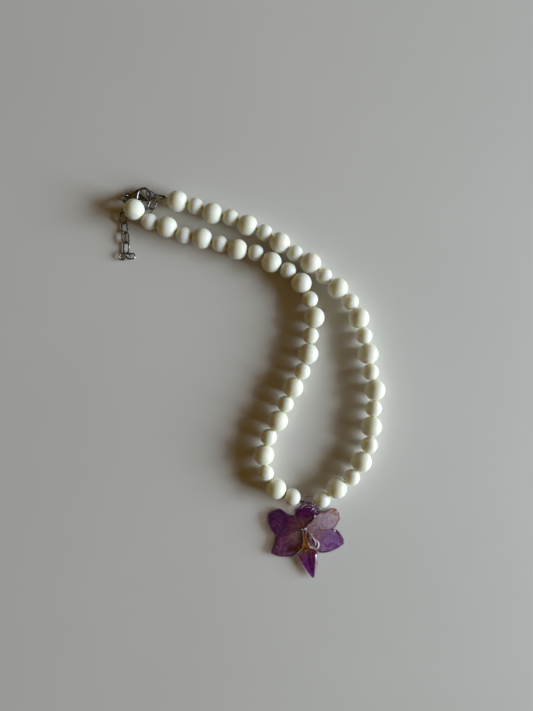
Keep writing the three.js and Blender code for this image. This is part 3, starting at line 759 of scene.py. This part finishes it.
def petal_material(name, facts):
    """A pressed petal under resin: streaks from heart to tip, faded patches, a darker edge and pores. On
    the lip's right lobes the edge on the lamp's side is white: partly their own pale edge, partly painted
    highlight.
    """
    g = Graph(name)
    along, across = g.attribute("along"), g.attribute("across")
    # A rim on one side only goes on the side that faces the lamp; its white there is partly painted
    # highlight.
    side = facts.get("rim_side")
    edge = g.math("MULTIPLY", across, side) if side else g.math("ABSOLUTE", across)
    patches = g.noise(210, 5, 0.58, 1.8)
    wander = g.math("MULTIPLY", g.math("SUBTRACT", g.noise(150, 3), 0.5), 0.45)
    place = g.math("ADD", across, wander)
    veins = g.math("SINE", g.math("MULTIPLY", place, VEINS))
    fine = g.math("SINE", g.math("MULTIPLY", place, FINE_VEINS))
    lines = g.math("ADD", g.math("MULTIPLY", veins, 0.6), g.math("MULTIPLY", fine, 0.4))
    ends = (0.45, facts["middle"]), (facts["ends_at"], facts["tip"])
    tone = g.ramp(along, (0.1, facts["heart"]), *ends)
    faded = g.ramp(patches, (0.43, 0.0), (0.62, facts["mottle"]))
    colour = g.mix(faded, tone, facts["pale"])
    stripes = g.ramp(along, (0.14, facts["stripes"]), (0.5, 0.0))
    near = g.math("MULTIPLY", stripes, g.ramp(veins, (0.45, 0.0), (0.8, 1.0)))
    colour = g.mix(near, colour, HEART_STRIPE)
    streaks = g.ramp(lines, (0.2, 1.0 - 0.72 * facts["veins"]), (0.72, 1.0))
    colour = g.mix(1.0, colour, streaks, "MULTIPLY")
    specks = g.ramp(g.noise(640, 5, 0.66, 0.8), (0.34, 0.66), (0.5, 1.0))
    colour = g.mix(1.0, colour, specks, "MULTIPLY")
    if "burnt" in facts:
        reach = g.ramp(along, (0.72, 0.0), (0.92, 1.0))
        singed = g.math("MULTIPLY", reach, g.ramp(g.noise(480, 4), (0.43, 0.0), (0.53, 1.0)))
        colour = g.mix(singed, colour, facts["burnt"])
    pores = g.ramp(g.noise(1500, 4, 0.7), (0.36, 0.62), (0.6, 1.0))
    colour = g.mix(1.0, colour, pores, "MULTIPLY")
    start = facts["rim_from"]
    uneven = g.math("ADD", edge, g.math("MULTIPLY", wander, 0.4))
    rim = g.ramp(uneven, (start, 0.0), (start + 0.1, 1.0))
    g.set(Base_Color=g.mix(rim, colour, facts.get("rim", tuple(0.4 * c for c in facts["tip"]))))
    g.set(Roughness=g.ramp(g.noise(900, 3), (0.3, 0.38), (0.75, 0.6)), Specular_IOR_Level=0.0)
    g.set(Subsurface_Weight=0.12, Subsurface_Radius=(0.8, 0.35, 0.9), Subsurface_Scale=0.0008)
    g.bump(g.math("ADD", g.math("MULTIPLY", lines, 0.35), patches), 0.6, 0.00015)
    return g.material


def petal_grid(facts):
    """A petal's middle surface, in rows from heart to tip (s) and columns from left to right (t)."""
    left, right = (spline(facts[side], PETAL_STEPS) for side in ("left", "right"))
    s, t = np.meshgrid(np.linspace(0, 1, PETAL_STEPS), np.linspace(-1, 1, PETAL_ACROSS), indexing="ij")
    plan = left[:, None, :] * ((1 - t) / 2)[..., None] + right[:, None, :] * ((1 + t) / 2)[..., None]
    seed = facts["seed"]
    jag = [noise.noise(Vector((a * EDGE_JAGS, copysign(3, b), seed))) for a, b in zip(s.flat, t.flat)]
    fray = EDGE_FRAY + facts["fray"] * np.clip((s - 0.7) / 0.2, 0, 1)
    width = plan[:, ::-1] - plan
    inward = width / np.maximum(np.linalg.norm(width, axis=2), 0.5)[..., None]
    plan = plan + inward * (fray * np.abs(t) ** 6 * np.array(jag).reshape(t.shape))[..., None]
    wave = np.sin(s * 11 + seed * 1.7) * np.sign(t) * 0.6 + np.sin(s * 23 + seed * 4.1) * 0.4
    z = facts["rise"] + facts["cup"] * (t**2 - 0.4) * np.sin(pi * s) ** 0.7
    z = z + facts["ruffle"] * wave * np.abs(t) ** 3 * s + facts["droop"] * s**3
    z = z - GROOVE["depth"] * np.exp(-((t / GROOVE["width"]) ** 2)) * (1 - s)
    z = z - facts["roll"] * np.clip((t - 0.5) / 0.5, 0, 1) ** 2
    rough = [
        sum(high * noise.noise(Vector((a * size, b * size, seed * shift))) for high, size, shift in LUMPS)
        for a, b in plan.reshape(-1, 2)
    ]
    z = z + np.array(rough).reshape(z.shape)
    return np.dstack([plan, z]), s, t


def petal_shape(facts):
    """A thin closed leaf round that surface, thinner towards its edges, with each point's place on it."""
    middle, s, t = petal_grid(facts)
    thickness = PETAL_THICKNESS / 2 * (1 - 0.7 * np.abs(t) ** 4) * (1 - 0.6 * s**6)
    lift = thickness[..., None] * (0, 0, 1)
    points = np.vstack([(middle + lift).reshape(-1, 3), (middle - lift).reshape(-1, 3)])
    rows, columns = s.shape
    faces, under = [], rows * columns
    order = np.arange(under).reshape(rows, columns).tolist()
    for near, far in zip(order, order[1:]):
        for a, b, c, d in zip(near, near[1:], far[1:], far):
            faces += [(a, b, c, d), (under + d, under + c, under + b, under + a)]
    border = [*order[0], *(r[-1] for r in order[1:]), *order[-1][-2::-1], *(r[0] for r in order[-2:0:-1])]
    faces += [(b, a, under + a, under + b) for a, b in zip(border, border[1:] + border[:1])]
    place = np.column_stack([np.tile(s.ravel(), 2), np.tile(t.ravel(), 2)])
    return points, faces, place


def petals_object(name, parts):
    """Several leaves as one mesh, each with its own material."""
    points, faces, places, picks = [], [], [], []
    for index, facts in enumerate(parts.values()):
        p, f, place = petal_shape(facts)
        offset = sum(len(q) for q in points)
        points.append(to_pendant(p))
        faces += [tuple(i + offset for i in face) for face in f]
        places.append(place)
        picks += [index] * len(f)
    materials = [petal_material(f"{name}_{part}", facts) for part, facts in parts.items()]
    made = make_object(name, np.vstack(points), faces, materials, pendant_frame())
    mesh = made.data
    for label, values in zip(("along", "across"), np.vstack(places).T.astype(np.float32).copy()):
        mesh.attributes.new(label, "FLOAT", "POINT").data.foreach_set("value", values)
    mesh.polygons.foreach_set("material_index", picks)
    work = bmesh.new()
    work.from_mesh(mesh)
    bmesh.ops.remove_doubles(work, verts=work.verts, dist=0.000004)
    bmesh.ops.dissolve_degenerate(work, edges=work.edges, dist=0.000001)
    bmesh.ops.recalc_face_normals(work, faces=work.faces)
    work.to_mesh(mesh)
    work.free()
    return made


def by_ray(tree, kind, usual, special, output):
    """One shader for the rays of a kind and the usual one for all others."""
    path, mixed = tree.nodes.new("ShaderNodeLightPath"), tree.nodes.new("ShaderNodeMixShader")
    for source, socket in zip((path.outputs[kind], usual.outputs[0], special.outputs[0]), mixed.inputs):
        tree.links.new(source, socket)
    tree.links.new(mixed.outputs[0], tree.nodes[output].inputs["Surface"])


def resin_material():
    """Clear cast resin: glossy, faintly lilac, with small ripples. It casts next to no shadow."""
    g = Graph("clear_resin")
    g.set(Base_Color=(0.97, 0.955, 0.98, 1), IOR=1.5, Transmission_Weight=1.0)
    g.set(Roughness=g.ramp(g.noise(500, 2), (0.4, 0.02), (0.7, 0.06)))
    g.bump(g.noise(420, 3, 0.5, 0.4), 0.12, 0.0002)
    clear = g.node("BsdfTransparent", {"Color": (0.48, 0.4, 0.38, 1)})
    by_ray(g.tree, "Is Shadow Ray", g.shader, clear, "Material Output")
    return g.material


RESIN_BOX, RESIN_VOXEL = ((-20.8, -39.4, -0.8), (20.8, 4.0, 8.2)), 0.21
RESIN_SMOOTHING = 4
RESIN_BACK = 0.03  # the flat back's height over the floor
RESIN_RIM = 0.5  # how far the coat reaches past the petals
SWING, SWING_SPARE = radians(110), radians(8)  # how far the pendant swings, and some room
# Small runs in the coat: place and direction in the flower's drawing, half length and height.
RESIN_RUNS = [
    (14.2, -0.6, -67, 1.1, 0.5), (4.2, 7.0, 40, 0.8, 0.35), (-6.3, 5.6, 110, 0.6, 0.4),
    (5.3, -14.4, -74, 2.6, 0.62),
]
RUN_WIDTH = 0.6
# The coat's foot, height, crown and uneven swell, its fall-off to the edge and its rise on the lip.
COAT = dict(
    foot=0.06, height=2.45, crown=0.6, crown_reach=2.0, swell=0.13, swell_reach=1.2,
    edge=1.87, slope=0.44, blend=0.3, lip=0.15, lip_reach=2.2, rounding=0.55,
)
# Swells over the heart and over the lip's right side lobe: place, reach in x and y, and height.
COAT_BUMPS = [(0.2, -1.0, 1.9, 2.6, 1.0), (4.1, -6.0, 2.3, 2.9, 0.8)]
# The swell of resin that the wire runs through, and its rings, where the resin set in layers.
BALL = dict(centre=(1.0, -2.3, 3.1), radii=(4.7, 5.0, 3.75))
ARCS = dict(centre=(1.4, 9.7), first=5.1, pitch=1.2, height=0.18, above=3)
BEAD_ROOM = 0.12


def ellipsoid(x, y, z, centre, radii):
    squares = (((v - c) / r) ** 2 for v, c, r in zip((x, y, z), centre, radii))
    return (np.sqrt(sum(squares)) - 1) * min(radii)


def bead_clearance(x, y, z):
    """Room for the beads beside the bail, along the arc they take as the pendant swings."""
    to_local = np.linalg.inv(pendant_frame())
    turned = np.arctan2(z - WIRE_HEIGHT, y)
    room = np.full(x.shape, 1e9)
    for node in ("bead_outer_24", "bead_inner_24"):
        cx, cy, cz = placed([bead_pose(node)[0]], to_local)[0]
        off, middle = hypot(cy, cz - WIRE_HEIGHT), atan2(cz - WIRE_HEIGHT, cy) + SWING / 2
        beyond = (turned - middle + pi) % (2 * pi) - pi
        at = middle + np.clip(beyond, -SWING / 2 - SWING_SPARE, SWING / 2 + SWING_SPARE)
        aside = np.hypot(y - off * np.cos(at), z - WIRE_HEIGHT - off * np.sin(at))
        room = np.minimum(room, np.hypot(x - cx, aside) - SMALL_BEAD["radius"] - BEAD_ROOM)
    return room


def edge_distance(x, y, plan):
    """How far each place inside a joined outline is from its edge, also where its parts overlap."""
    inside = plan < 0
    rim = inside & ~np.all([np.roll(inside, step, axis) for step in (1, -1) for axis in (0, 1)], 0)
    reach = [
        (np.hypot(xs[:, None] - x[rim], ys[:, None] - y[rim]) - plan[rim]).min(1) for xs, ys in zip(x, y)
    ]
    return np.where(inside, np.array(reach), 0.0)


def resin_top(x, y, inside, lip_inside):
    """The coat's height: a pillow that falls off to its edge, with swells over thick parts."""
    swell = np.array([
        noise.noise(Vector((a * 0.21, b * 0.21, 2))) + 0.5 * noise.noise(Vector((a * 0.5, b * 0.5, 7)))
        for a, b in zip(x.flat, y.flat)
    ]).reshape(x.shape)
    pillow = COAT["height"] + COAT["crown"] * (1 - np.exp(-inside / COAT["crown_reach"]))
    pillow = pillow + COAT["swell"] * swell * (1 - np.exp(-inside / COAT["swell_reach"]))
    top = -soft_union(-pillow, -(COAT["edge"] + COAT["slope"] * inside), COAT["blend"])
    top += COAT["lip"] * np.sin(np.clip(lip_inside / COAT["lip_reach"], 0, 1) * pi / 2)
    for *place, reach_x, reach_y, height in COAT_BUMPS:
        bump_x, bump_y, _ = to_pendant([(*place, 0.0)])[0]
        top += height * np.exp(-(((x - bump_x) / reach_x) ** 2 + ((y - bump_y) / reach_y) ** 2))
    for *place, degrees, half_length, height in RESIN_RUNS:
        run_x, run_y, _ = to_pendant([(*place, 0.0)])[0]
        c, s = heading(degrees - BAIL["heading"])[:2]
        run, aside = (x - run_x) * c + (y - run_y) * s, (y - run_y) * c - (x - run_x) * s
        top += height * np.exp(-((run / half_length) ** 2) - (aside / RUN_WIDTH) ** 2)
    return top


def resin_field(x, y, z):
    """The coat: a rounded plate round the blossom, a ball over the wire, and the bail's hole."""
    flat_x, flat_y = x[:, :, 0], y[:, :, 0]
    outlines = [
        np.vstack([spline(facts["left"], 40), spline(facts["right"], 40)[::-1][1:]])
        for facts in [*TEPALS.values(), LIP["throat"], LIP["side_right"], LIP["curl_right"], LIP["lobe"]]
    ]
    outlines.append(np.array(RESIN_SLIVER))
    distances = [outline_distance(flat_x, flat_y, to_pendant(outline)) for outline in outlines]
    plan = distances[0]
    for other in distances[1:]:
        plan = soft_union(plan, other, 1.0)
    plan = plan - RESIN_RIM
    inside = edge_distance(flat_x, flat_y, plan)
    plan = np.where(plan < 0, -inside, plan)
    top = resin_top(flat_x, flat_y, inside, np.clip(-distances[-2], 0, None))
    middle, half = (top + COAT["foot"]) / 2, (top - COAT["foot"]) / 2
    coat = slab(plan[:, :, None], z, middle[:, :, None], half[:, :, None], COAT["rounding"])
    arc_x, arc_y, _ = to_pendant([(*ARCS["centre"], 0.0)])[0]
    arcs = np.cos(2 * pi * (np.hypot(x - arc_x, y - arc_y) - ARCS["first"]) / ARCS["pitch"])
    ball = ellipsoid(x, y, z, BALL["centre"], BALL["radii"])
    ball = ball - ARCS["height"] * arcs * np.clip((z - ARCS["above"]) / 2, 0, 1)
    ball = np.maximum(ball, COAT["foot"] - z)
    around = np.hypot(y, z - WIRE_HEIGHT)
    body = soft_union(coat, ball, 1.2)
    body = soft_cut(body, bead_clearance(x, y, z), 0.8)
    return soft_cut(body, around - BAIL["bore"] / 2, 0.2)


def make_resin():
    points, faces = solid(resin_field, RESIN_BOX, RESIN_VOXEL)
    points[:, 2] = np.maximum(points[:, 2], RESIN_BACK)
    made = make_object("resin_coat", points, faces, resin_material(), pendant_frame())
    work = bmesh.new()
    work.from_mesh(made.data)
    axes = {"use_axis_x": True, "use_axis_y": True, "use_axis_z": True}
    for _ in range(RESIN_SMOOTHING):
        bmesh.ops.smooth_vert(work, verts=work.verts, factor=0.5, **axes)
    work.to_mesh(made.data)
    work.free()
    attach(made, "pendant", "resin", "pendant_resin")


COLUMN = {  # centres and radii, from the flower's centre
    "hood": ((0.0, -0.9, 2.15), (1.2, 1.7, 1.0)),
    "cap": ((0.25, 0.35, 3.1), (0.75, 0.5, 0.55)),
    "tooth": ((-1.25, -0.1, 2.85), (0.42, 0.36, 0.55)),
    "hollow": ((0.0, -1.6, 3.0), (0.6, 0.9, 0.6)),
}
COLUMN_BOX, COLUMN_VOXEL = ((-2.4, -4.0, 0.6), (2.4, 2.0, 4.4)), 0.1
# The column turns white by height alone: partly the cap's own pale colour, partly painted highlight.
COLUMN_PALE_AND_HIGHLIGHT_FROM = 0.0024  # metres up, where the flesh starts to turn pale


def column_field(x, y, z):
    """A hooded column with a cap, a hollow under it and a small tooth at its side; the cap and tooth are
    pale, partly as painted highlight.
    """
    hood, cap, tooth, hollow = (ellipsoid(x, y, z, *part) for part in COLUMN.values())
    return soft_cut(soft_union(soft_union(hood, cap, 0.3), tooth, 0.4), hollow, 0.25)


def column_material():
    """Brown flesh that turns whitish on the raised cap and tooth: partly the anther's own pale colour,
    partly painted highlight, white by height alone.
    """
    g = Graph("column_flesh")
    patches = g.noise(700, 4, 0.6, 0.3)
    height = g.node("SeparateXYZ", {"Vector": g.coordinates}).outputs["Z"]
    # Painted highlight, in part: the flesh turns white above a height.
    share = g.math("MULTIPLY", g.math("SUBTRACT", height, COLUMN_PALE_AND_HIGHLIGHT_FROM), 1000.0)
    browns = (0.0, (0.15, 0.05, 0.03)), (0.68, (0.25, 0.12, 0.08))
    colour = g.ramp(share, *browns, (0.8, (0.97, 0.95, 0.95)))
    g.set(Base_Color=g.mix(g.ramp(patches, (0.5, 0.0), (0.75, 0.45)), colour, (0.2, 0.07, 0.08)))
    g.set(Roughness=g.ramp(g.noise(1200), (0.3, 0.3), (0.7, 0.5)))
    g.set(Subsurface_Weight=0.2, Subsurface_Radius=(0.8, 0.4, 0.4), Subsurface_Scale=0.0006)
    g.bump(patches, 0.4, 0.0001)
    return g.material


def make_blossom():
    attach(petals_object("blossom_tepals", TEPALS), "pendant", "blossom", "orchid_blossom")
    attach(petals_object("orchid_lip_lobes", LIP), "pendant", "lip", "orchid_lip")
    points, faces = solid(column_field, COLUMN_BOX, COLUMN_VOXEL)
    points, finish = to_pendant(points), column_material()
    made = make_object("orchid_column_flesh", points, faces, finish, pendant_frame())
    attach(made, "pendant", "lip", "orchid_column")


# ---- floor, light and camera
CAMERA_HEIGHT = 266.4
LENS = 27.1
FLOOR_HALF = 2200.0
# A window's soft, cool light, in metres, degrees and watts.
WINDOW = dict(
    away=2.4, azimuth=-6, elevation=18.8, size=(1.7, 0.93), power=94.0, color=(0.755, 0.875, 1.0),
)
ROOM = dict(color=(1.0, 0.58, 0.14, 1), strength=0.086)  # the warm light from all round
BEYOND = (0.4, 0.4, 0.385, 1)  # what the camera itself sees past the floor


def make_floor():
    g = Graph("pale_surface")
    smudge = g.noise(9, 3, 0.5)
    g.set(Base_Color=g.ramp(smudge, (0.35, (0.79, 0.77, 0.71)), (0.7, (0.82, 0.795, 0.735))))
    g.set(Roughness=g.ramp(g.noise(60, 3), (0.3, 0.5), (0.7, 0.58)))
    g.bump(g.noise(900, 3), 0.05, 0.0001)
    corners = FLOOR_HALF * np.array([(-1, -1, 0), (1, -1, 0), (1, 1, 0), (-1, 1, 0)])
    make_object("floor", corners, [(0, 1, 2, 3)], g.material)


def make_lights():
    data = bpy.data.lights.new("window", "AREA")
    data.shape = "RECTANGLE"
    data.size, data.size_y = WINDOW["size"]
    data.energy = WINDOW["power"]
    data.color = WINDOW["color"]
    window = linked("window", data)
    elevation = radians(WINDOW["elevation"])
    place = WINDOW["away"] * cos(elevation) * heading(WINDOW["azimuth"])
    place[2] = WINDOW["away"] * sin(elevation)
    window.location = place
    window.rotation_euler = Vector(-place).to_track_quat("-Z", "Y").to_euler()
    world = bpy.data.worlds.new("room")
    bpy.context.scene.world = world
    world.use_nodes = True
    tree = world.node_tree
    warm = tree.nodes["Background"]
    warm.inputs["Color"].default_value = ROOM["color"]
    warm.inputs["Strength"].default_value = ROOM["strength"]
    pale = tree.nodes.new("ShaderNodeBackground")
    pale.inputs["Color"].default_value = BEYOND
    by_ray(tree, "Is Camera Ray", warm, pale, "World Output")


def make_camera():
    data = bpy.data.cameras.new("camera")
    data.lens, data.sensor_width = LENS, 36.0
    data.clip_start, data.clip_end = 0.01, 10.0
    made = linked("camera", data)
    made.location = (*SHIFT[:2] * 0.001, CAMERA_HEIGHT * 0.001)
    bpy.context.scene.camera = made
    bpy.context.scene.view_settings.view_transform = "Standard"


# ---- the whole necklace
make_camera()
make_lights()
make_floor()
outer_stops = make_strand("outer", 1)
inner_stops = make_strand("inner", 101)
outer_end, outer_crimp, outer_out = wire_end(outer_stops[0], OUTER_RING)
inner_end, inner_crimp, inner_out = wire_end(inner_stops[0], INNER_RING)
make_wire(outer_stops, inner_stops, outer_end, inner_end)
make_crimp("crimp_outer", outer_crimp, outer_out, flat=0.16)
make_crimp("crimp_inner", inner_crimp, inner_out, flat=0.12)
make_jump_ring("jump_ring_inner", INNER_RING)
make_jump_ring("jump_ring_outer", OUTER_RING)
make_clasp()
make_chain()
make_blossom()
make_resin()
